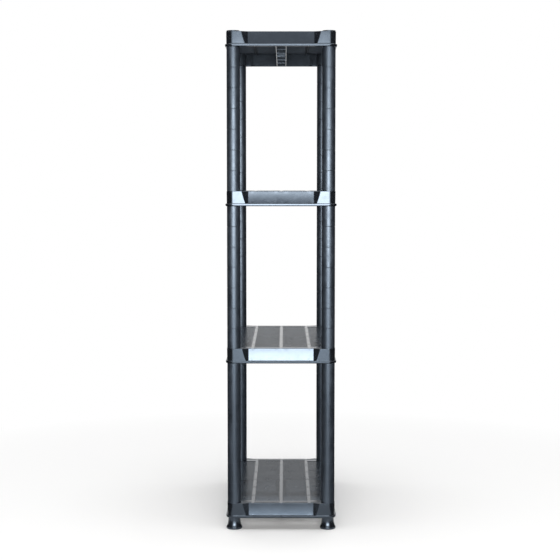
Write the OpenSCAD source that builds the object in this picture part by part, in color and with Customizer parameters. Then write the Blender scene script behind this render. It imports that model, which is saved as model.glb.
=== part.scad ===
// Four-tier plug-together shelving unit in moulded plastic.
// X runs along the shelves, Y across them and Z up. The origin is on the floor,
// under the middle of the unit. Every size is in millimetres.

/* [Shelves] */
// Length of a shelf over its lip
shelf_length = 600; // [500:10:800]
// Depth of a shelf over its lip
shelf_depth = 300; // [260:10:400]
// Height of a shelf, from the underside of its lip to its rim
shelf_height = 40; // [36:1:60]
// Thickness of the plain deck
deck_thickness = 3; // [2.5:0.1:4]
// Wall of the skirt round a shelf
skirt_wall = 2.5; // [2:0.1:3]
// How far the lip stands out from the skirt
lip_reach = 3.5; // [2:0.5:5]
// Height of the lip
lip_height = 6.5; // [4:0.5:8]

/* [Deck pattern] */
// How far the slotted fields lie below the rim
field_sink = 0.8; // [0.4:0.1:1.2]
// Number of slots from one cross rib to the next
slots_per_bay = 8; // [5:1:10]
// Width of a slot
slot_width = 6.5; // [3:0.5:7]
// Width of the plain border at each end of the deck
end_border = 32; // [30:1:45]
// Width of the plain border along each side of the deck
side_border = 14; // [12:1:20]
// Width of a plain strip along the deck
strip_width = 7; // [5:1:12]
// Distance of the two outer strips from the middle one
strip_offset = 77; // [68:1:80]
// Width of the notches that cross the outer strips over the cross ribs
notch_width = 4; // [2:0.5:6]

/* [Skirt panels] */
// Length of the plain skirt beside a post's axis, just above the lip
corner_block = 32; // [28:1:45]
// Depth of a panel's recess just above the lip
recess_depth = 3.3; // [2:0.1:4]
// Angle by which a panel leans back
panel_lean = 7; // [4:0.5:9]
// Angle of a panel's sloped ends
recess_end_angle = 22; // [18:1:30]

/* [Ribs] */
// Distance between the two long middle ribs
ladder_width = 27; // [20:1:34]
// Number of cross ribs between the two long ones
rung_count = 5; // [3:1:7]
// Thickness of a rib
rib_wall = 2.2; // [1.6:0.1:2.6]
// How far the shallow ribs under the outer strips hang down
strip_rib_depth = 8; // [5:1:12]

/* [Posts] */
// Outside diameter of a post
post_diameter = 36; // [32:1:40]
// Wall of a post
post_wall = 2.2; // [1.8:0.1:3]
// Length of a post between two shelves
post_length = 385; // [250:5:500]
// Distance from the outside of the lip to a post's axis
post_inset = 22; // [21:0.5:26]
// Number of ring grooves round a post
ring_count = 6; // [2:1:8]
// Width of a ring groove
ring_width = 1.8; // [1:0.2:3]
// Depth of a ring groove
ring_depth = 0.6; // [0.3:0.1:0.9]

/* [Plug joints] */
// Diameter of the plug at each end of a post
plug_diameter = 29; // [26:0.5:29.5]
// Clearance between a plug and its socket, on the radius
plug_clearance = 0.3; // [0.2:0.05:0.5]
// Gap between the end of a plug and the web of its socket
plug_end_gap = 1.5; // [0.5:0.5:3]
// Web that parts the upper socket from the lower one
socket_web = 2.5; // [1.5:0.1:3]
// Wall of a socket
socket_wall = 3; // [2.4:0.1:3.2]

/* [Feet and caps] */
// Height of a foot below the bottom shelf
foot_height = 32; // [25:1:60]
// Diameter of a foot just below the shelf
foot_neck = 33; // [31:1:34]
// Diameter of a foot at the floor
foot_spread = 43; // [38:1:50]
// Wall of a foot's plug and of a cap's plug
foot_wall = 2.5; // [2:0.1:3]
// Thickness of a cap's head
cap_thickness = 3; // [2:0.5:5]
// Length of a cap's plug
cap_plug = 12; // [8:1:15]

/* [Hidden] */
TIERS = ["lower", "middle", "upper"];
SHELVES = ["bottom_shelf", "lower_shelf", "upper_shelf", "top_shelf"];
CORNERS = [["front_left", -1, -1], ["front_right", 1, -1],
           ["back_left", -1, 1], ["back_right", 1, 1]];

overrun = 0.5;          // how far a cutter runs past the face that it opens
slot_margin = 1.5;      // plain edge of a slotted field, past the ends of its slots
chamfer = 1;            // on the ends of the plugs and on a cap's head
bore_taper = 6;         // length over which a post's bore narrows to its plug
foot_band = 5;          // height of the plain band round a foot at the floor
foot_edge = 1.5;        // rounding of that band's lower edge
foot_neck_length = 5;   // plain length of a foot under the shelf
flare_turn = 55;        // angle of the arc that a foot's side follows
flare_steps = 10;       // straight steps in that arc
edge_steps = 4;         // straight steps in a foot's rounded edge
round_fn = 72;          // facets of the round forms

tier_pitch = shelf_height + post_length;
skirt_length = shelf_length - 2 * lip_reach;
skirt_depth = shelf_depth - 2 * lip_reach;
skirt_radius = post_inset - lip_reach;
post_x = shelf_length / 2 - post_inset;
post_y = shelf_depth / 2 - post_inset;
post_radius = post_diameter / 2;

plug_radius = plug_diameter / 2;
socket_radius = plug_radius + plug_clearance;
socket_outer = socket_radius + socket_wall;
socket_depth = (shelf_height - socket_web) / 2;
plug_length = socket_depth - plug_end_gap;

rung_gap = skirt_length / (rung_count + 1);
slot_pitch = rung_gap / slots_per_bay;
ceiling = shelf_height - deck_thickness;

// The slotted fields: an inner pair between the strips, and an outer pair that
// stops short of the sockets
field_length = skirt_length - 2 * end_border;
inner_field = strip_offset - strip_width;
inner_middle = strip_offset / 2;
outer_field = skirt_depth / 2 - side_border - strip_offset - strip_width / 2;
outer_middle = skirt_depth / 2 - side_border - outer_field / 2;
outer_length = min(field_length, 2 * (post_x - socket_outer - slot_width));

function shelf_z(level) = foot_height + level * tier_pitch;

// ---- shelf moulding -------------------------------------------------------

// Rectangle with round corners, made of plain squares and circles
module round_rect(length, depth, radius) {
    square([length, depth - 2 * radius], center = true);
    square([length - 2 * radius, depth], center = true);
    for (sx = [-1, 1], sy = [-1, 1])
        translate([sx * (length / 2 - radius), sy * (depth / 2 - radius)])
            circle(r = radius, $fn = round_fn);
}

// Puts its children against each of the skirt's four sides, facing outwards.
// $post_offset tells them how far the posts stand from the middle of that side.
module on_each_side() {
    for (side = [0:3]) {
        long_side = side % 2 == 1;
        $post_offset = long_side ? post_x : post_y;
        rotate(side * 90)
            translate([(long_side ? skirt_depth : skirt_length) / 2, 0, 0]) children();
    }
}

// Cutter for the panel between two corner blocks. Its section is a trapezium, so
// its sloped ends run apart towards the top, where the leaning panel lies deeper.
module panel_cutter(thickening) {
    half = $post_offset - corner_block - recess_depth / tan(recess_end_angle);
    reach = skirt_radius;
    spread = reach / tan(recess_end_angle);
    translate([-recess_depth - thickening, 0, lip_height])
        rotate([0, -panel_lean, 0])
            translate([0, 0, -2 * lip_height])
                linear_extrude(shelf_height + 3 * lip_height)
                    polygon([[0, -half], [0, half],
                             [reach, half + spread], [reach, -half - spread]]);
}

// What hangs from the deck down to the lip: the ladder of ribs and the sockets
module underside_plan() {
    for (sy = [-1, 1])
        translate([0, sy * ladder_width / 2])
            square([skirt_length, rib_wall], center = true);
    for (i = [1:rung_count])
        translate([i * rung_gap - skirt_length / 2, 0])
            square([rib_wall, ladder_width], center = true);
    for (corner = CORNERS)
        translate([corner[1] * post_x, corner[2] * post_y])
            circle(r = socket_outer, $fn = round_fn);
}

module strip_ribs() {
    for (sy = [-1, 1])
        translate([-skirt_length / 2, sy * strip_offset - rib_wall / 2,
                   ceiling - strip_rib_depth])
            cube([skirt_length, rib_wall, strip_rib_depth + overrun]);
}

// The space under the deck, with the ribs and sockets left standing in it
module shelf_hollow() {
    difference() {
        translate([0, 0, -overrun])
            linear_extrude(ceiling + overrun)
                round_rect(skirt_length - 2 * skirt_wall, skirt_depth - 2 * skirt_wall,
                           skirt_radius - skirt_wall);
        on_each_side() panel_cutter(skirt_wall);
        translate([0, 0, -2 * overrun]) linear_extrude(shelf_height) underside_plan();
        strip_ribs();
    }
}

module field_plan() {
    for (sy = [-1, 1]) {
        translate([0, sy * inner_middle])
            square([field_length, inner_field], center = true);
        translate([0, sy * outer_middle])
            square([outer_length, outer_field], center = true);
        for (i = [1:rung_count])
            translate([i * rung_gap - skirt_length / 2, sy * strip_offset])
                square([notch_width, 2 * strip_width], center = true);
    }
}

// A row of slots along the middle of one field
module slot_row(length, width) {
    last = floor((length / 2 - slot_width / 2 - overrun) / slot_pitch);
    for (i = [-last:last])
        translate([i * slot_pitch, 0])
            square([slot_width, width - 2 * slot_margin], center = true);
}

module slot_plan() {
    for (sy = [-1, 1]) {
        translate([0, sy * inner_middle]) slot_row(field_length, inner_field);
        translate([0, sy * outer_middle]) slot_row(outer_length, outer_field);
    }
}

module sockets() {
    for (corner = CORNERS, z = [-overrun, shelf_height - socket_depth])
        translate([corner[1] * post_x, corner[2] * post_y, z])
            cylinder(h = socket_depth + overrun, r = socket_radius, $fn = round_fn);
}

module shelf_moulding() {
    color("#20242b")
        difference() {
            union() {
                difference() {
                    linear_extrude(shelf_height)
                        round_rect(skirt_length, skirt_depth, skirt_radius);
                    on_each_side() panel_cutter(0);
                }
                linear_extrude(lip_height)
                    round_rect(shelf_length, shelf_depth, post_inset);
            }
            shelf_hollow();
            translate([0, 0, shelf_height - field_sink])
                linear_extrude(field_sink + overrun) field_plan();
            translate([0, 0, ceiling - overrun])
                linear_extrude(deck_thickness + 2 * overrun) slot_plan();
            sockets();
        }
}

// ---- posts, feet and caps -------------------------------------------------

// Outline of the ring grooves, from the bottom of a post to its top
ring_points = [
    for (i = [1:ring_count])
        let (z = i * post_length / (ring_count + 1))
        each [[post_radius, z - ring_width / 2],
              [post_radius - ring_depth, z],
              [post_radius, z + ring_width / 2]]];

module post() {
    top = post_length;
    bore = post_radius - post_wall;
    plug_bore = plug_radius - post_wall;
    color("#2a2f3a")
        rotate_extrude($fn = round_fn)
            polygon(concat(
                [[plug_bore, -plug_length], [plug_radius - chamfer, -plug_length],
                 [plug_radius, chamfer - plug_length], [plug_radius, 0], [post_radius, 0]],
                ring_points,
                [[post_radius, top], [plug_radius, top],
                 [plug_radius, top + plug_length - chamfer],
                 [plug_radius - chamfer, top + plug_length], [plug_bore, top + plug_length],
                 [plug_bore, top - post_wall], [bore, top - post_wall - bore_taper],
                 [bore, post_wall + bore_taper], [plug_bore, post_wall]]));
}

// A point on a foot's flared side, which leaves the neck upright and spreads out
function flare_point(turn) =
    let (spread = (foot_spread - foot_neck) / 2,
         rise = foot_height - foot_neck_length - foot_band)
    [foot_neck / 2 + spread * (1 - cos(turn)) / (1 - cos(flare_turn)),
     foot_height - foot_neck_length - rise * sin(turn) / sin(flare_turn)];

module foot() {
    floor_radius = foot_spread / 2;
    plug_bore = plug_radius - foot_wall;
    top = foot_height + plug_length;
    color("#23262c")
        rotate_extrude($fn = round_fn)
            polygon(concat(
                [[plug_bore, top], [plug_radius - chamfer, top],
                 [plug_radius, top - chamfer], [plug_radius, foot_height],
                 [foot_neck / 2, foot_height]],
                [for (i = [0:flare_steps]) flare_point(i * flare_turn / flare_steps)],
                [for (i = [0:edge_steps])
                    let (a = 90 * i / edge_steps)
                    [floor_radius - foot_edge * (1 - cos(a)), foot_edge * (1 - sin(a))]],
                [[floor_radius - 2 * foot_wall, 0], [floor_radius - 2 * foot_wall, foot_band],
                 [plug_bore, foot_height / 2]]));
}

module cap() {
    plug_bore = plug_radius - foot_wall;
    color("#1c1f24")
        rotate_extrude($fn = round_fn)
            polygon([[0, 0], [plug_bore, 0], [plug_bore, -cap_plug],
                     [plug_radius - chamfer, -cap_plug], [plug_radius, chamfer - cap_plug],
                     [plug_radius, 0], [post_radius, 0],
                     [post_radius, cap_thickness - chamfer],
                     [post_radius - chamfer, cap_thickness], [0, cap_thickness]]);
}

// ---- assembly ---------------------------------------------------------------

module at_corner(corner, z) {
    translate([corner[1] * post_x, corner[2] * post_y, z]) children();
}

for (level = [0:3])
    translate([0, 0, shelf_z(level)]) shelf_moulding();

for (tier = [0:2], corner = CORNERS)
    at_corner(corner, shelf_z(tier) + shelf_height) post();

for (corner = CORNERS)
    at_corner(corner, 0) foot();

for (corner = CORNERS)
    at_corner(corner, shelf_z(3) + shelf_height) cap();
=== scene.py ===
"""Four-tier plug-together shelving unit in black moulded plastic.

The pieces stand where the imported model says. Shapes are worked out in millimetres, in the
model's own frame: X along the shelves, Y across them and Z up.
"""

import math

import bpy
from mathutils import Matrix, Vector


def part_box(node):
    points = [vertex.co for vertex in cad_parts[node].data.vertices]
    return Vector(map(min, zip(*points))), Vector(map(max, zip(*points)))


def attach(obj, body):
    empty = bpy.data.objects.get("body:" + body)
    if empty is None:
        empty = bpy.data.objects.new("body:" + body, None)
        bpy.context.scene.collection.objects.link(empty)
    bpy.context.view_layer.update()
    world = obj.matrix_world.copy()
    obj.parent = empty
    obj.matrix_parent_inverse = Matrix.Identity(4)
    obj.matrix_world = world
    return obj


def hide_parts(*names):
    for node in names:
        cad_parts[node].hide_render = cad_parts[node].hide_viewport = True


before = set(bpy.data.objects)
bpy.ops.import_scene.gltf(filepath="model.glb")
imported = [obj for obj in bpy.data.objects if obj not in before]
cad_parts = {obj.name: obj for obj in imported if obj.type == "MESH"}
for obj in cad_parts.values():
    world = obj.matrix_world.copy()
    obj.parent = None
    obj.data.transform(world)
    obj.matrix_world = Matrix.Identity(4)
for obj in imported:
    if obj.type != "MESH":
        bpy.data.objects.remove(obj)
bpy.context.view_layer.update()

MM = 0.001

# ---- places and main sizes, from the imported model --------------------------

TIERS = ("lower", "middle", "upper")
SHELVES = ("bottom_shelf", "lower_shelf", "upper_shelf", "top_shelf")
CORNERS = {
    "front_left": (-1, -1),
    "front_right": (1, -1),
    "back_left": (-1, 1),
    "back_right": (1, 1),
}


def box_mm(node):
    """Lowest and highest corner of a CAD node, in millimetres."""
    low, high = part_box(node)
    return Vector(low) / MM, Vector(high) / MM


shelf_low, shelf_high = box_mm("bottom_shelf")
next_shelf_low, _ = box_mm("lower_shelf")
post_low, post_high = box_mm("lower_post_back_right")
foot_low, foot_high = box_mm("foot_back_right")
cap_low, cap_high = box_mm("cap_back_right")

SHELF_LENGTH = shelf_high.x - shelf_low.x
SHELF_DEPTH = shelf_high.y - shelf_low.y
SHELF_HEIGHT = shelf_high.z - shelf_low.z
SHELF_Z = [box_mm(name)[0].z for name in SHELVES]
POST_X = (post_low.x + post_high.x) / 2
POST_Y = (post_low.y + post_high.y) / 2
POST_RADIUS = (post_high.x - post_low.x) / 2
POST_LENGTH = next_shelf_low.z - shelf_high.z
PLUG_LENGTH = shelf_high.z - post_low.z
FOOT_HEIGHT = shelf_low.z
FOOT_RADIUS = (foot_high.x - foot_low.x) / 2
CAP_THICKNESS = cap_high.z - box_mm("top_shelf")[1].z
CAP_PLUG = cap_high.z - cap_low.z - CAP_THICKNESS

# ---- sizes of a shelf ------------------------------------------------------

DECK = 3.0
SKIRT_WALL = 2.5
LIP_REACH = 3.5
LIP_HEIGHT = 6.5
LIP_LOWER_ROUND = 2.7
LIP_UPPER_ROUND = 0.9
LIP_FILLET = 1.2
RIM_ROUND = 0.6
FLARE = 1.8             # how far the inside of the skirt opens out into the lip
FLARE_HEIGHT = 10.0
SKIRT_DRAFT = 0.012     # how far the skirt spreads for each millimetre of height

CORNER_BLOCK = 32.0     # plain skirt beside a post's axis, just above the lip
RECESS = 3.3            # depth of a panel just above the lip
PANEL_LEAN = math.radians(7)
PANEL_BOW = math.radians(2)     # how much more it leans at its foot, and less at its top
RECESS_END = math.radians(22)
RECESS_ROUND = 1.3
SINK_DEPTH = 0.1        # of the marks that the ribs leave on an end panel
SINK_WIDTH = 4.5
PANEL_STEPS = 60
SKIRT_LEVELS = 8

FIELD_SINK = 0.8
FIELD_CHAMFER = 0.35
END_BORDER = 32.0
SIDE_BORDER = 14.0
STRIP_WIDTH = 7.0
STRIP_OFFSET = 77.0
NOTCH_WIDTH = 4.0
NOTCH_FLOOR = 0.4       # thickness left under a notch
SLOTS_PER_BAY = 8
SLOT_WIDTH = 6.5
SLOT_MARGIN = 1.5
SLOT_ROUND = 1.4
SLOT_CHAMFER = 0.5
SLOT_END_GAP = 0.5      # least plain deck between the last slot and the end of its field
CROSS_STRIP = 8.0       # smooth strip across the deck, past each end of the fields

LADDER_WIDTH = 27.0
RUNG_COUNT = 5
RIB_WALL = 2.2
RIB_DRAFT = 0.012
STRIP_RIB_DEPTH = 8.0
SOCKET_RADIUS = 14.8
SOCKET_WALL = 3.0
SOCKET_WEB = 2.5
SOCKET_CHAMFER = 0.6

HALF_LENGTH = SHELF_LENGTH / 2 - LIP_REACH
HALF_DEPTH = SHELF_DEPTH / 2 - LIP_REACH
SKIRT_RADIUS = HALF_LENGTH - POST_X
CEILING = SHELF_HEIGHT - DECK
FIELD_Z = SHELF_HEIGHT - FIELD_SINK
RUNG_GAP = 2 * HALF_LENGTH / (RUNG_COUNT + 1)
SLOT_PITCH = RUNG_GAP / SLOTS_PER_BAY

# ---- sizes of posts, feet and caps -----------------------------------------

POST_WALL = 2.2
PLUG_RADIUS = 14.5
PLUG_CHAMFER = 1.0
BORE_TAPER = 6.0
POST_EDGE = 0.5
RING_COUNT = 6
RING_WIDTH = 1.8
RING_DEPTH = 0.6

FOOT_NECK = 16.5
FOOT_NECK_LENGTH = 5.0
FOOT_BAND = 5.0
FOOT_EDGE = 1.5
FOOT_WALL = 2.5
FLARE_TURN = math.radians(55)
CAP_EDGE = 1.2
CAP_DISH = 0.5
CAP_PINHOLE = 0.05      # radius left open at a cap's middle, because a turned outline is closed

# ---- mesh building ---------------------------------------------------------

OVERRUN = 1.0           # how far a cutter runs past the face that it opens
ARC_STEPS = 6           # steps in a small rounded edge
CORNER_STEPS = 16       # steps round a shelf's corner
SLOT_CORNER_STEPS = 4   # steps round the corner of a slot, field or notch
FLARE_STEPS = 16        # steps down a foot's flare
LATHE_STEPS = 96
SMOOTH_ANGLE = math.radians(32)


def arc(centre_r, centre_z, radius, start, end, steps=ARC_STEPS):
    """Points on an arc in the section plane, from angle start to end in degrees."""
    turns = [math.radians(start + (end - start) * i / steps) for i in range(steps + 1)]
    return [(centre_r + radius * math.cos(a), centre_z + radius * math.sin(a)) for a in turns]


def solid(name, points, faces):
    """A closed mesh object from points in millimetres, with its faces turned outwards."""
    mesh = bpy.data.meshes.new(name)
    mesh.from_pydata([Vector(p) * MM for p in points], [], faces)
    mesh.update()
    volume = 0.0
    for face in mesh.polygons:
        volume += face.center.dot(face.normal) * face.area
    if volume < 0:
        mesh.flip_normals()
    piece = bpy.data.objects.new(name, mesh)
    bpy.context.scene.collection.objects.link(piece)
    return piece


def skin(rings, first=0, join_ends=False):
    """Faces between rings of equally many points. The ends are closed or joined."""
    count = len(rings[0])
    levels = len(rings)
    faces = []
    for level in range(levels if join_ends else levels - 1):
        low = first + level * count
        high = first + (level + 1) % levels * count
        for i in range(count):
            j = (i + 1) % count
            faces.append((low + i, low + j, high + j, high + i))
    if not join_ends:
        faces.append(tuple(first + i for i in reversed(range(count))))
        faces.append(tuple(first + (levels - 1) * count + i for i in range(count)))
    return faces


def loft(name, *stacks):
    """One object made of a closed loft for each stack of rings."""
    points, faces = [], []
    for rings in stacks:
        faces += skin(rings, first=len(points))
        for ring in rings:
            points += ring
    return solid(name, points, faces)


def lathe(name, outline, centre, base=0.0):
    """Turns a closed outline of (radius, height) points about an upright axis."""
    rings = []
    for radius, height in outline:
        ring = []
        for i in range(LATHE_STEPS):
            a = 2 * math.pi * i / LATHE_STEPS
            ring.append((centre[0] + radius * math.cos(a),
                         centre[1] + radius * math.sin(a), base + height))
        rings.append(ring)
    return solid(name, [p for ring in rings for p in ring], skin(rings, join_ends=True))


def carve(target, tool, operation):
    """Applies a boolean with tool to target, and deletes tool."""
    step = target.modifiers.new("step", "BOOLEAN")
    step.object = tool
    step.operation = operation
    step.solver = "MANIFOLD"
    shaped = target.evaluated_get(bpy.context.evaluated_depsgraph_get())
    mesh = bpy.data.meshes.new_from_object(shaped)
    target.modifiers.remove(step)
    target.data = mesh
    bpy.data.objects.remove(tool)


def finish_surface(piece, material):
    """Smooths the rounded parts, keeps the creases, and gives the piece its material."""
    mesh = piece.data
    mesh.shade_smooth()
    mesh.set_sharp_from_angle(angle=SMOOTH_ANGLE)
    weighted = piece.modifiers.new("weighted normals", "WEIGHTED_NORMAL")
    weighted.keep_sharp = True
    mesh.materials.clear()
    mesh.materials.append(material)


# ---- shelf moulding --------------------------------------------------------

def round_rect(length, depth, radius, z, centre, grow=0.0):
    """A ring in the shape of a rectangle with round corners."""
    radius = radius + grow
    ring = []
    for quarter, (sx, sy) in enumerate(((1, 1), (-1, 1), (-1, -1), (1, -1))):
        x = centre[0] + sx * (length / 2 + grow - radius)
        y = centre[1] + sy * (depth / 2 + grow - radius)
        for i in range(SLOT_CORNER_STEPS + 1):
            a = math.pi / 2 * (quarter + i / SLOT_CORNER_STEPS)
            ring.append((x + radius * math.cos(a), y + radius * math.sin(a), z))
    return ring


def panel_depth(z):
    """How deep a skirt panel lies at a height above the shelf's underside."""
    up = z - LIP_HEIGHT
    bow = up * (1 - up / (SHELF_HEIGHT - LIP_HEIGHT)) * math.tan(PANEL_BOW)
    return RECESS + up * math.tan(PANEL_LEAN) + max(bow, 0.0)


def bend(start, corner, end):
    """Points along a rounded corner of a polyline."""
    points = []
    for i in range(ARC_STEPS + 1):
        u = i / ARC_STEPS
        points.append(tuple((1 - u) ** 2 * a + 2 * u * (1 - u) * b + u * u * c
                            for a, b, c in zip(start, corner, end)))
    return points


def half_side(post_offset, z):
    """(distance from the middle, depth) along half of a skirt side, with its recess."""
    depth = panel_depth(z)
    slope = math.tan(RECESS_END)
    inner = post_offset - CORNER_BLOCK - RECESS / slope
    outer = inner + depth / slope
    r = RECESS_ROUND
    flat = [((inner - r) * i / PANEL_STEPS, depth) for i in range(PANEL_STEPS)]
    return (flat + bend((inner - r, depth), (inner, depth), (inner + r, depth - r * slope))
            + bend((outer - r, r * slope), (outer, 0), (outer + r, 0)))


def sink_mark(t):
    """How far an end panel has sunk at a distance t from its middle."""
    marks = (LADDER_WIDTH / 2, STRIP_OFFSET)
    return sum(SINK_DEPTH * math.exp(-((abs(t) - mark) / SINK_WIDTH) ** 2) for mark in marks)


def skirt_ring(z, inset=0.0, recessed=True, shape_z=None, sunk_in=False):
    """A ring round the skirt at height z, drawn in by inset."""
    ring = []
    sides = ((HALF_LENGTH, POST_Y), (HALF_DEPTH, POST_X)) * 2
    for side, (reach, post_offset) in enumerate(sides):
        turn = math.pi / 2 * side
        normal = (round(math.cos(turn)), round(math.sin(turn)))
        along = (-normal[1], normal[0])
        half = half_side(post_offset, z if shape_z is None else shape_z)
        path = [(-t, d) for t, d in reversed(half[1:])] + half
        for t, depth in path:
            out = reach - inset - (depth if recessed else 0.0)
            if sunk_in and side % 2 == 0:
                out -= sink_mark(t)
            ring.append((normal[0] * out + along[0] * t, normal[1] * out + along[1] * t, z))
        corner_x = POST_X * (normal[0] + along[0])
        corner_y = POST_Y * (normal[1] + along[1])
        radius = SKIRT_RADIUS - inset
        for i in range(CORNER_STEPS + 1):
            a = turn + math.pi / 2 * i / CORNER_STEPS
            ring.append((corner_x + radius * math.cos(a), corner_y + radius * math.sin(a), z))
    return ring


def shelf_shell():
    """The outside of a shelf, with its lip, recessed panels and rounded rim."""
    rings = []
    for out, z in arc(-LIP_LOWER_ROUND, LIP_LOWER_ROUND, LIP_LOWER_ROUND, -90, 0):
        rings.append(skirt_ring(z, -LIP_REACH - out, recessed=False, shape_z=LIP_HEIGHT))
    for out, z in arc(-LIP_UPPER_ROUND, LIP_HEIGHT - LIP_UPPER_ROUND, LIP_UPPER_ROUND, 0, 90):
        rings.append(skirt_ring(z, -LIP_REACH - out, recessed=False, shape_z=LIP_HEIGHT))
    for out, z in arc(LIP_FILLET, LIP_HEIGHT + LIP_FILLET, LIP_FILLET, 270, 180):
        rings.append(skirt_ring(z, -out, shape_z=max(z, LIP_HEIGHT)))
    low = LIP_HEIGHT + LIP_FILLET
    high = SHELF_HEIGHT - RIM_ROUND
    for level in range(1, SKIRT_LEVELS):
        z = low + (high - low) * level / SKIRT_LEVELS
        rings.append(skirt_ring(z, -SKIRT_DRAFT * (z - LIP_HEIGHT), sunk_in=True))
    top_inset = -SKIRT_DRAFT * (high - LIP_HEIGHT)
    for out, z in arc(-RIM_ROUND, high, RIM_ROUND, 0, 90):
        rings.append(skirt_ring(z, top_inset - out))
    return loft("shelf", rings)


def shelf_hollow():
    """The space inside the skirt, under the deck."""
    heights = [-OVERRUN] + [FLARE_HEIGHT * i / ARC_STEPS for i in range(ARC_STEPS + 1)]
    heights += [FLARE_HEIGHT + (CEILING - FLARE_HEIGHT) * i / SKIRT_LEVELS
                for i in range(1, SKIRT_LEVELS + 1)]
    rings = []
    for z in heights:
        flare = FLARE * max(0.0, 1 - max(z, 0.0) / FLARE_HEIGHT) ** 2
        rings.append(skirt_ring(z, SKIRT_WALL - SKIRT_DRAFT * z - flare))
    return loft("hollow", rings)


def rib_section(bottom):
    """(side, up) points of a rib's section, from its rounded tip up into the deck."""
    half = RIB_WALL / 2
    turns = [math.pi * (1 + i / ARC_STEPS) for i in range(ARC_STEPS + 1)]
    tip = [(half * math.cos(a), half + half * math.sin(a)) for a in turns]
    rise = CEILING - bottom + OVERRUN
    spread = half + RIB_DRAFT * rise
    return tip + [(spread, rise), (-spread, rise)]


def long_rib(y, bottom):
    """Rings for a rib along the shelf that runs into the skirt at both ends."""
    section = rib_section(bottom)
    ends = []
    for sign in (-1, 1):
        ends.append([(sign * (HALF_LENGTH - panel_depth(bottom + up) - SKIRT_WALL / 2),
                      y + side, bottom + up) for side, up in section])
    return ends


def rung(x):
    """Rings for a short rib across the ladder."""
    return [[(x + side, sign * LADDER_WIDTH / 2, up) for side, up in rib_section(0.0)]
            for sign in (-1, 1)]


def circle(x, y, z, radius):
    """A round ring."""
    turns = (2 * math.pi * i / LATHE_STEPS for i in range(LATHE_STEPS))
    return [(x + radius * math.cos(a), y + radius * math.sin(a), z) for a in turns]


def socket(x, y):
    """Rings for the outside of a socket, under the deck."""
    outside = SOCKET_RADIUS + SOCKET_WALL
    return [circle(x, y, 0, outside - SOCKET_CHAMFER), circle(x, y, SOCKET_CHAMFER, outside),
            circle(x, y, CEILING + OVERRUN, outside)]


def bores(x, y):
    """Rings for the two bores of a socket, which a web keeps apart."""
    depth = (SHELF_HEIGHT - SOCKET_WEB) / 2
    wide = SOCKET_RADIUS + SOCKET_CHAMFER
    lower = [circle(x, y, -OVERRUN, wide), circle(x, y, 0, wide),
             circle(x, y, SOCKET_CHAMFER, SOCKET_RADIUS), circle(x, y, depth, SOCKET_RADIUS)]
    upper = [[(px, py, SHELF_HEIGHT - z) for px, py, z in ring] for ring in reversed(lower)]
    return [lower, upper]


INNER_FIELD = STRIP_OFFSET - STRIP_WIDTH
INNER_MIDDLE = STRIP_OFFSET / 2
OUTER_FIELD = HALF_DEPTH - SIDE_BORDER - STRIP_OFFSET - STRIP_WIDTH / 2
OUTER_MIDDLE = HALF_DEPTH - SIDE_BORDER - OUTER_FIELD / 2
FIELD_LENGTH = 2 * (HALF_LENGTH - END_BORDER)
OUTER_LENGTH = min(FIELD_LENGTH,
                   2 * (POST_X - SOCKET_RADIUS - SOCKET_WALL - SLOT_WIDTH))
FIELDS = [(sign * middle, length, width)
          for sign in (-1, 1)
          for middle, length, width in ((INNER_MIDDLE, FIELD_LENGTH, INNER_FIELD),
                                        (OUTER_MIDDLE, OUTER_LENGTH, OUTER_FIELD))]


def sunk(length, width, centre):
    """Rings for a shallow cutter with chamfered edges, down to the slotted fields."""
    corner = FIELD_CHAMFER * 2
    return [round_rect(length, width, corner, FIELD_Z, centre),
            round_rect(length, width, corner, SHELF_HEIGHT - FIELD_CHAMFER, centre),
            round_rect(length, width, corner, SHELF_HEIGHT + FIELD_CHAMFER, centre,
                       grow=2 * FIELD_CHAMFER)]


def notches():
    """Stacks for the notches that cross the outer strips in line with the cross ribs."""
    stacks = []
    for i in range(1, RUNG_COUNT + 1):
        x = i * RUNG_GAP - HALF_LENGTH
        for sign in (-1, 1):
            size = (NOTCH_WIDTH, 2 * STRIP_WIDTH, SLOT_ROUND)
            centre = (x, sign * STRIP_OFFSET)
            stacks.append([
                round_rect(*size, CEILING + NOTCH_FLOOR, centre),
                round_rect(*size, SHELF_HEIGHT - FIELD_CHAMFER, centre),
                round_rect(*size, SHELF_HEIGHT + FIELD_CHAMFER, centre,
                           grow=2 * FIELD_CHAMFER)])
    return stacks


def slots():
    """Stacks for the slots through the deck."""
    stacks = []
    for y, length, width in FIELDS:
        last = math.floor((length / 2 - SLOT_WIDTH / 2 - SLOT_END_GAP) / SLOT_PITCH)
        for i in range(-last, last + 1):
            size = (SLOT_WIDTH, width - 2 * SLOT_MARGIN, SLOT_ROUND)
            centre = (i * SLOT_PITCH, y)
            stacks.append([
                round_rect(*size, CEILING - OVERRUN, centre),
                round_rect(*size, FIELD_Z - SLOT_CHAMFER, centre),
                round_rect(*size, FIELD_Z + SLOT_CHAMFER, centre, grow=2 * SLOT_CHAMFER),
            ])
    return stacks


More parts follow.
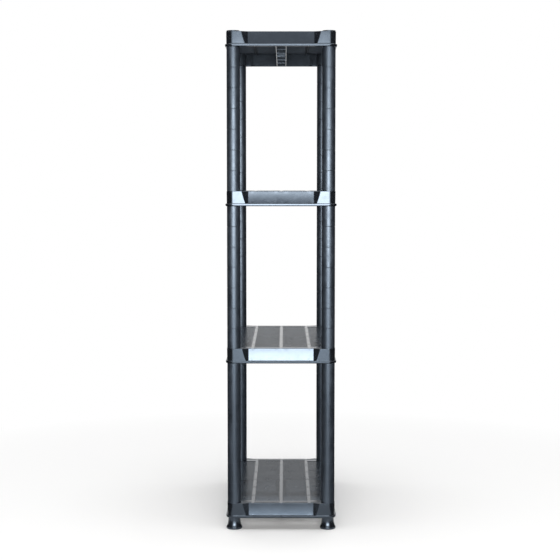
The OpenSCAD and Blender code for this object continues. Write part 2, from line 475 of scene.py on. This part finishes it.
def shelf_moulding():
    """One shelf with its underside at height 0."""
    shelf = shelf_shell()
    places = [(sx * POST_X, sy * POST_Y) for sx, sy in CORNERS.values()]
    carve(shelf, shelf_hollow(), "DIFFERENCE")
    ladder = [long_rib(sign * LADDER_WIDTH / 2, 0.0) for sign in (-1, 1)]
    strips = [long_rib(sign * STRIP_OFFSET, CEILING - STRIP_RIB_DEPTH) for sign in (-1, 1)]
    carve(shelf, loft("ribs", *ladder, *strips), "UNION")
    rungs = [rung(i * RUNG_GAP - HALF_LENGTH) for i in range(1, RUNG_COUNT + 1)]
    carve(shelf, loft("rungs", *rungs), "UNION")
    carve(shelf, loft("sockets", *[socket(*place) for place in places]), "UNION")
    carve(shelf, loft("bores", *[b for place in places for b in bores(*place)]), "DIFFERENCE")
    fields = [sunk(length, width, (0, y)) for y, length, width in FIELDS]
    carve(shelf, loft("fields", *fields), "DIFFERENCE")
    carve(shelf, loft("notches", *notches()), "DIFFERENCE")
    carve(shelf, loft("slots", *slots()), "DIFFERENCE")
    return shelf


# ---- posts, feet and caps --------------------------------------------------

def ring_groove(z):
    """Outline of a rounded groove round a post."""
    half = RING_WIDTH / 2
    radius = (half ** 2 + RING_DEPTH ** 2) / (2 * RING_DEPTH)
    reach = math.degrees(math.asin(half / radius))
    return arc(POST_RADIUS - RING_DEPTH + radius, z, radius, 180 + reach, 180 - reach)


def post_outline():
    """Closed section of a post, from its lower seat at height 0."""
    top = POST_LENGTH
    bore = POST_RADIUS - POST_WALL
    plug_bore = PLUG_RADIUS - POST_WALL
    outline = [(plug_bore, -PLUG_LENGTH), (PLUG_RADIUS - PLUG_CHAMFER, -PLUG_LENGTH),
               (PLUG_RADIUS, PLUG_CHAMFER - PLUG_LENGTH), (PLUG_RADIUS, 0)]
    outline += arc(POST_RADIUS - POST_EDGE, POST_EDGE, POST_EDGE, -90, 0)
    for i in range(1, RING_COUNT + 1):
        outline += ring_groove(i * POST_LENGTH / (RING_COUNT + 1))
    outline += arc(POST_RADIUS - POST_EDGE, top - POST_EDGE, POST_EDGE, 0, 90)
    outline += [(PLUG_RADIUS, top), (PLUG_RADIUS, top + PLUG_LENGTH - PLUG_CHAMFER),
                (PLUG_RADIUS - PLUG_CHAMFER, top + PLUG_LENGTH),
                (plug_bore, top + PLUG_LENGTH), (plug_bore, top - POST_WALL),
                (bore, top - POST_WALL - BORE_TAPER), (bore, POST_WALL + BORE_TAPER),
                (plug_bore, POST_WALL)]
    return outline


def foot_outline():
    """Closed section of a foot, from the floor at height 0."""
    plug_bore = PLUG_RADIUS - FOOT_WALL
    top = FOOT_HEIGHT + PLUG_LENGTH
    spread = FOOT_RADIUS - FOOT_NECK
    rise = FOOT_HEIGHT - FOOT_NECK_LENGTH - FOOT_BAND
    outline = [(plug_bore, top), (PLUG_RADIUS - PLUG_CHAMFER, top),
               (PLUG_RADIUS, top - PLUG_CHAMFER), (PLUG_RADIUS, FOOT_HEIGHT)]
    outline += arc(FOOT_NECK - POST_EDGE, FOOT_HEIGHT - POST_EDGE, POST_EDGE, 90, 0)
    for i in range(FLARE_STEPS + 1):
        turn = FLARE_TURN * i / FLARE_STEPS
        outline.append((
            FOOT_NECK + spread * (1 - math.cos(turn)) / (1 - math.cos(FLARE_TURN)),
            FOOT_HEIGHT - FOOT_NECK_LENGTH - rise * math.sin(turn) / math.sin(FLARE_TURN)))
    outline += arc(FOOT_RADIUS - FOOT_EDGE, FOOT_EDGE, FOOT_EDGE, 0, -90)
    inside = FOOT_RADIUS - 2 * FOOT_WALL
    outline += [(inside, 0), (inside, FOOT_BAND), (plug_bore, FOOT_HEIGHT / 2)]
    return outline


def cap_outline():
    """Closed section of a cap, from its seat at height 0. Its head is slightly dished."""
    plug_bore = PLUG_RADIUS - FOOT_WALL
    outline = [(CAP_PINHOLE, 0), (plug_bore, 0), (plug_bore, -CAP_PLUG),
               (PLUG_RADIUS - PLUG_CHAMFER, -CAP_PLUG),
               (PLUG_RADIUS, PLUG_CHAMFER - CAP_PLUG), (PLUG_RADIUS, 0)]
    outline += arc(POST_RADIUS - POST_EDGE, POST_EDGE, POST_EDGE, -90, 0, steps=3)
    outline += arc(POST_RADIUS - CAP_EDGE, CAP_THICKNESS - CAP_EDGE, CAP_EDGE, 0, 90)
    dish = POST_RADIUS - 4 * CAP_EDGE
    outline += [(dish + 2 * CAP_DISH, CAP_THICKNESS), (dish, CAP_THICKNESS - CAP_DISH),
                (CAP_PINHOLE, CAP_THICKNESS - CAP_DISH)]
    return outline


# ---- materials -------------------------------------------------------------

BLOTCH_SCALE = 34.0     # features to the metre, here and in the next three
SPECKLE_SCALE = 900.0
MARK_SCALE = 60.0
WAVE_SCALE = 26.0
NOISE_MIDDLE = (0.3, 0.7)       # where most of a noise's values lie
LIGHT_MARKS = (0.62, 0.8)       # the part of the marks that shows as lighter colour
DULL_MARKS = (0.55, 0.8)        # the part of the marks that is rougher

STRIP_BLEND = 0.0003            # half width, in metres, of the change at a strip's edge
UPWARD = (0.85, 0.95)           # Z of a normal from which a face counts as deck
OUTWARD = (0.0, 0.002)          # normal times place, in metres, where a face turns outwards
TILTED_UP = (0.05, 0.2)         # Z of a normal from which a face isn't a wall or an underside
RIM_TOP = (0.0035, 0.005)       # height in metres, with HEIGHT_GUARD in it, that stays glossy
FIELD_ROUGH = 0.07              # added to the roughness of the slotted fields
BORDER_ROUGH = 0.25             # added to it on the end borders
BORDER_BLEND = 0.5              # width, in millimetres, of the change at an end border
INSIDE_ROUGH = 0.6              # added to it inside the skirt and under the deck
HEIGHT_GUARD = 1.0              # in millimetres, keeps heights over a shelf's underside above 0


def add_node(tree, kind, inputs=None, **settings):
    """Adds a shader node. Inputs are values, or sockets to link from."""
    node = tree.nodes.new(kind)
    for name, value in settings.items():
        setattr(node, name, value)
    for name, value in (inputs or {}).items():
        if isinstance(value, bpy.types.NodeSocket):
            tree.links.new(value, node.inputs[name])
        else:
            node.inputs[name].default_value = value
    return node


def noise(tree, vector, scale, detail=2.0, roughness=0.5):
    """Noise between 0 and 1 with this many features to the metre."""
    node = add_node(tree, "ShaderNodeTexNoise", {
        "Vector": vector, "Scale": scale, "Detail": detail, "Roughness": roughness})
    return node.outputs["Fac"]


def remap(tree, value, low, high, to_low, to_high):
    """Maps a value from one range to another, and holds it there."""
    node = add_node(tree, "ShaderNodeMapRange", {
        "Value": value, "From Min": low, "From Max": high, "To Min": to_low, "To Max": to_high})
    return node.outputs["Result"]


def arithmetic(tree, operation, first, second):
    """One step of arithmetic."""
    node = add_node(tree, "ShaderNodeMath", {0: first, 1: second}, operation=operation)
    return node.outputs[0]


def stretched(tree, vector, scale):
    """A vector scaled apart along the axes, for marks that run one way."""
    node = add_node(tree, "ShaderNodeMapping", {"Vector": vector, "Scale": scale})
    return node.outputs["Vector"]


def bump(tree, height, distance, normal=None):
    """Bump of this height, in metres."""
    inputs = {"Height": height, "Distance": distance, "Strength": 1.0}
    if normal is not None:
        inputs["Normal"] = normal
    return add_node(tree, "ShaderNodeBump", inputs).outputs["Normal"]


def plastic(name, colour, rough, grain, wave, streak):
    """Black moulded plastic. rough is its roughness, grain and wave are heights in metres,
    and streak stretches the faint marks along the axes. Returns the material, its tree, the
    place vector and the socket that holds its roughness."""
    material = bpy.data.materials.new(name)
    material.use_nodes = True
    tree = material.node_tree
    shader = tree.nodes["Principled BSDF"]
    place = add_node(tree, "ShaderNodeTexCoord").outputs["Object"]

    blotches = noise(tree, place, BLOTCH_SCALE, detail=3.0)
    speckle = noise(tree, place, SPECKLE_SCALE, detail=2.0)
    marks = noise(tree, stretched(tree, place, streak), MARK_SCALE, detail=4.0, roughness=0.65)

    tint = add_node(tree, "ShaderNodeMix", {
        "Factor": remap(tree, blotches, *NOISE_MIDDLE, 0.0, 1.0),
        "A": [c * 0.82 for c in colour] + [1.0],
        "B": [c * 1.22 for c in colour] + [1.0]}, data_type="RGBA")
    lighter = add_node(tree, "ShaderNodeMix", {
        "Factor": remap(tree, marks, *LIGHT_MARKS, 0.0, 0.35),
        "A": tint.outputs["Result"],
        "B": [c * 2.2 + 0.004 for c in colour] + [1.0]}, data_type="RGBA")
    tree.links.new(lighter.outputs["Result"], shader.inputs["Base Color"])

    spread = remap(tree, blotches, *NOISE_MIDDLE, rough * 0.85, rough * 1.2)
    dull = remap(tree, marks, *DULL_MARKS, 0.0, 0.12)
    fine = remap(tree, speckle, *NOISE_MIDDLE, -0.03, 0.03)
    total = arithmetic(tree, "ADD", arithmetic(tree, "ADD", spread, dull), fine)
    tree.links.new(total, shader.inputs["Roughness"])

    waves = bump(tree, noise(tree, place, WAVE_SCALE, detail=1.0), wave)
    worn = bump(tree, marks, grain * 0.5, waves)
    tree.links.new(bump(tree, speckle, grain, worn), shader.inputs["Normal"])
    shader.inputs["IOR"].default_value = 1.6
    shader.inputs["Specular IOR Level"].default_value = 0.65
    shader.inputs["Specular Tint"].default_value = (0.66, 0.81, 1.0, 1.0)
    return material, tree, place, total


def shelf_plastic():
    """Glossy skirt, grained deck with smooth strips, and a duller inside."""
    material, tree, place, gloss = plastic(
        "shelf_plastic", (0.006, 0.007, 0.009), rough=0.15,
        grain=0.000005, wave=0.00014, streak=(0.35, 1.0, 1.0))
    shader = tree.nodes["Principled BSDF"]
    parts = add_node(tree, "ShaderNodeSeparateXYZ", {"Vector": place})
    along = arithmetic(tree, "ABSOLUTE", parts.outputs["X"], 0.0)
    side = arithmetic(tree, "ABSOLUTE", parts.outputs["Y"], 0.0)
    outer = arithmetic(tree, "ABSOLUTE", arithmetic(tree, "SUBTRACT", side, STRIP_OFFSET * MM), 0.0)
    cross_middle = (FIELD_LENGTH + CROSS_STRIP) / 2 * MM
    cross = arithmetic(tree, "ABSOLUTE", arithmetic(tree, "SUBTRACT", along, cross_middle), 0.0)
    cross = arithmetic(tree, "ADD", cross, (STRIP_WIDTH - CROSS_STRIP) / 2 * MM)
    nearest = arithmetic(tree, "MINIMUM", arithmetic(tree, "MINIMUM", side, outer), cross)
    edge = STRIP_WIDTH / 2 * MM
    beside = remap(tree, nearest, edge - STRIP_BLEND, edge + STRIP_BLEND, 0.0, 1.0)
    geometry = add_node(tree, "ShaderNodeNewGeometry")
    facing = add_node(tree, "ShaderNodeSeparateXYZ", {"Vector": geometry.outputs["True Normal"]})
    upward = remap(tree, facing.outputs["Z"], *UPWARD, 0.0, 1.0)
    border = FIELD_LENGTH / 2 + CROSS_STRIP
    grain = remap(tree, along, border * MM, (border + BORDER_BLEND) * MM,
                  FIELD_ROUGH, BORDER_ROUGH)
    grained = arithmetic(tree, "MULTIPLY", arithmetic(tree, "MULTIPLY", beside, upward), grain)
    outward = add_node(tree, "ShaderNodeVectorMath", {
        0: geometry.outputs["True Normal"],
        1: stretched(tree, place, (1.0, 1.0, 0.0))}, operation="DOT_PRODUCT").outputs["Value"]
    height = arithmetic(tree, "SUBTRACT", parts.outputs["Z"], (FOOT_HEIGHT - HEIGHT_GUARD) * MM)
    height = arithmetic(tree, "MODULO", height, (SHELF_Z[1] - SHELF_Z[0]) * MM)
    inside = arithmetic(tree, "MULTIPLY", remap(tree, outward, *OUTWARD, 1.0, 0.0),
                        remap(tree, facing.outputs["Z"], *TILTED_UP, 1.0, 0.0))
    inside = arithmetic(tree, "MULTIPLY", inside, remap(tree, height, *RIM_TOP, 0.0, 1.0))
    duller = arithmetic(tree, "MAXIMUM", grained, arithmetic(tree, "MULTIPLY", inside, INSIDE_ROUGH))
    tree.links.new(arithmetic(tree, "ADD", gloss, duller), shader.inputs["Roughness"])
    return material


def post_plastic():
    """Extruded tube. Its fine draw lines spread the gloss round it more than along it."""
    material, tree, _, _ = plastic(
        "post_plastic", (0.009, 0.011, 0.015), rough=0.34,
        grain=0.000006, wave=0.00006, streak=(1.0, 1.0, 0.12))
    shader = tree.nodes["Principled BSDF"]
    shader.inputs["Anisotropic"].default_value = 0.7
    shader.inputs["Specular IOR Level"].default_value = 0.85
    around = add_node(tree, "ShaderNodeTangent", direction_type="RADIAL", axis="Z")
    tree.links.new(around.outputs["Tangent"], shader.inputs["Tangent"])
    return material


SHELF_PLASTIC = shelf_plastic()
POST_PLASTIC = post_plastic()
FOOT_PLASTIC = plastic("foot_plastic", (0.007, 0.008, 0.010), rough=0.2,
                       grain=0.000005, wave=0.0001, streak=(1.0, 1.0, 1.0))[0]
CAP_PLASTIC = plastic("cap_plastic", (0.006, 0.007, 0.008), rough=0.28,
                      grain=0.00001, wave=0.0001, streak=(1.0, 1.0, 1.0))[0]

# ---- assembly --------------------------------------------------------------


def place_piece(piece, node, material):
    """Lets a finished piece stand for its CAD node."""
    finish_surface(piece, material)
    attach(piece, "root")
    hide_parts(node)


moulding = shelf_moulding()
for name, z in zip(SHELVES, SHELF_Z):
    shelf_mesh = moulding.data.copy()
    for vertex in shelf_mesh.vertices:
        vertex.co.z += z * MM
    shelf = bpy.data.objects.new(name + "_moulding", shelf_mesh)
    bpy.context.scene.collection.objects.link(shelf)
    place_piece(shelf, name, SHELF_PLASTIC)
bpy.data.objects.remove(moulding)

for corner, (sx, sy) in CORNERS.items():
    axis = (sx * POST_X, sy * POST_Y)
    for tier, z in zip(TIERS, SHELF_Z):
        name = f"{tier}_post_{corner}"
        tube = lathe(name + "_tube", post_outline(), axis, z + SHELF_HEIGHT)
        place_piece(tube, name, POST_PLASTIC)
    name = f"foot_{corner}"
    place_piece(lathe(name + "_turned", foot_outline(), axis), name, FOOT_PLASTIC)
    name = f"cap_{corner}"
    cap = lathe(name + "_turned", cap_outline(), axis, SHELF_Z[-1] + SHELF_HEIGHT)
    place_piece(cap, name, CAP_PLASTIC)

# ---- floor, light and camera, in metres ------------------------------------

FLOOR_REACH = 12.0
FLOOR_FADE = (0.45, 1.6)        # from the object's own floor to plain white

EYE = (3.7864, 0.0091, 0.9349)
PITCH = 0.0719
YAW = 0.0034
LENS = 83.51                    # in millimetres, on a sensor 36 wide

COOL = (0.85, 0.93, 1.0)
WARM = (1.0, 0.96, 0.91)
WHITE = (1.0, 1.0, 1.0)
WORLD_STRENGTH = 0.3

FLAG_BACK = -3.0                # the flags' ends along X
FLAG_FRONT = 2.6
FLAG_SIDE = 1.5                 # how far out the upright flags stand and the lying ones reach
FLAG_INNER = 0.26               # inner edge of the flags that lie on the floor
FLAG_FOOT = 0.01                # lower and upper edge of the upright flags
FLAG_TOP = 3.0
FLAG_LIFT = 0.001               # height of the lying flags over the floor


def studio_floor():
    """A pale floor. To the camera alone it fades to plain white away from the object."""
    material = bpy.data.materials.new("floor")
    material.use_nodes = True
    tree = material.node_tree
    shader = tree.nodes["Principled BSDF"]
    shader.inputs["Base Color"].default_value = (0.95, 0.95, 0.95, 1)
    shader.inputs["Roughness"].default_value = 0.9
    shader.inputs["Specular IOR Level"].default_value = 0.1
    place = add_node(tree, "ShaderNodeTexCoord").outputs["Object"]
    away = add_node(tree, "ShaderNodeVectorMath", {0: place}, operation="LENGTH")
    far = remap(tree, away.outputs["Value"], *FLOOR_FADE, 0.0, 1.0)
    seen = add_node(tree, "ShaderNodeLightPath").outputs["Is Camera Ray"]
    white = add_node(tree, "ShaderNodeEmission", {"Color": (1, 1, 1, 1), "Strength": 1.0})
    mixed = add_node(tree, "ShaderNodeMixShader", {
        0: arithmetic(tree, "MULTIPLY", far, seen),
        1: shader.outputs["BSDF"], 2: white.outputs["Emission"]})
    tree.links.new(mixed.outputs["Shader"], tree.nodes["Material Output"].inputs["Surface"])
    reach = FLOOR_REACH
    mesh = bpy.data.meshes.new("floor")
    mesh.from_pydata([(-reach, -reach, 0), (reach, -reach, 0), (reach, reach, 0),
                      (-reach, reach, 0)], [], [(0, 1, 2, 3)])
    mesh.materials.append(material)
    floor = bpy.data.objects.new("floor", mesh)
    bpy.context.scene.collection.objects.link(floor)


def softbox(name, place, target, size, radiance, colour, soft=True):
    """A rectangular lamp that the camera doesn't see. size is its width and height, and a
    soft one is brightest in the middle and fades out towards its edges."""
    lamp = bpy.data.lights.new(name, "AREA")
    lamp.shape = "RECTANGLE"
    lamp.size, lamp.size_y = size
    lamp.energy = radiance * math.pi * size[0] * size[1]
    lamp.color = colour
    if soft:
        lamp.use_nodes = True
        tree = lamp.node_tree
        spot = add_node(tree, "ShaderNodeNewGeometry").outputs["Parametric"]
        parts = add_node(tree, "ShaderNodeSeparateXYZ", {"Vector": spot})
        level = 1.0
        for axis in "XY":
            across = arithmetic(tree, "MULTIPLY_ADD", parts.outputs[axis], 2.0)
            across.node.inputs[2].default_value = -1.0
            fade = arithmetic(tree, "SUBTRACT", 1.0, arithmetic(tree, "POWER", across, 2.0))
            level = arithmetic(tree, "MULTIPLY", arithmetic(tree, "POWER", fade, 2.0), level)
        tree.links.new(level, tree.nodes["Emission"].inputs["Strength"])
    holder = bpy.data.objects.new(name, lamp)
    holder.location = place
    holder.rotation_euler = (Vector(target) - Vector(place)).to_track_quat("-Z", "Y").to_euler()
    holder.visible_camera = False
    bpy.context.scene.collection.objects.link(holder)


def flag(name, corners):
    """A black studio flag. It only darkens what the gloss reflects."""
    material = bpy.data.materials.get("flag") or bpy.data.materials.new("flag")
    material.use_nodes = True
    shader = material.node_tree.nodes["Principled BSDF"]
    shader.inputs["Base Color"].default_value = (0.02, 0.02, 0.02, 1)
    shader.inputs["Specular IOR Level"].default_value = 0.0
    mesh = bpy.data.meshes.new(name)
    mesh.from_pydata(corners, [], [(0, 1, 2, 3)])
    mesh.materials.append(material)
    panel = bpy.data.objects.new(name, mesh)
    for kind in ("camera", "diffuse", "shadow", "transmission", "volume_scatter"):
        setattr(panel, "visible_" + kind, False)
    bpy.context.scene.collection.objects.link(panel)


def studio_world(strength):
    """Plain surroundings that light the object, and show as white in gloss and behind it."""
    world = bpy.data.worlds.new("studio")
    world.use_nodes = True
    bpy.context.scene.world = world
    tree = world.node_tree
    paths = add_node(tree, "ShaderNodeLightPath")
    seen = arithmetic(tree, "MAXIMUM", paths.outputs["Is Camera Ray"],
                      arithmetic(tree, "MAXIMUM", paths.outputs["Is Glossy Ray"],
                                 paths.outputs["Is Transmission Ray"]))
    background = tree.nodes["Background"]
    background.inputs["Color"].default_value = (1, 1, 1, 1)
    tree.links.new(remap(tree, seen, 0.0, 1.0, strength, 1.0), background.inputs["Strength"])


def add_camera(place, pitch, yaw, lens):
    """A camera that looks along -X, tipped down by pitch and turned by yaw, in radians."""
    data = bpy.data.cameras.new("camera")
    data.sensor_width = 36.0
    data.lens = lens
    camera = bpy.data.objects.new("camera", data)
    camera.location = place
    camera.rotation_euler = (math.pi / 2 - pitch, 0.0, math.pi / 2 + yaw)
    bpy.context.scene.collection.objects.link(camera)
    bpy.context.scene.camera = camera


studio_floor()
studio_world(WORLD_STRENGTH)
softbox("key", (3.9, 0.02, 0.97), (0, 0, 0.97), (4.0, 1.6), 18.5, WARM)
softbox("glow", (4.2, 0.02, 0.75), (0, 0, 0.75), (5.0, 3.4), 3.0, COOL)
softbox("low_glow", (2.6, 0.02, 0.25), (0, 0, 0.25), (1.8, 0.5), 1.0, COOL, soft=False)
softbox("overhead", (0.0, 0.0, 3.2), (0, 0, 0), (3.0, 3.0), 3.2, WHITE, soft=False)
for sign in (-1, 1):
    side, inner = sign * FLAG_SIDE, sign * FLAG_INNER
    flag("side_flag", [(FLAG_BACK, side, FLAG_FOOT), (FLAG_FRONT, side, FLAG_FOOT),
                       (FLAG_FRONT, side, FLAG_TOP), (FLAG_BACK, side, FLAG_TOP)])
    flag("floor_flag", [(FLAG_BACK, inner, FLAG_LIFT), (FLAG_FRONT, inner, FLAG_LIFT),
                        (FLAG_FRONT, side, FLAG_LIFT), (FLAG_BACK, side, FLAG_LIFT)])
add_camera(EYE, PITCH, YAW, LENS)
bpy.context.scene.view_settings.view_transform = "Standard"
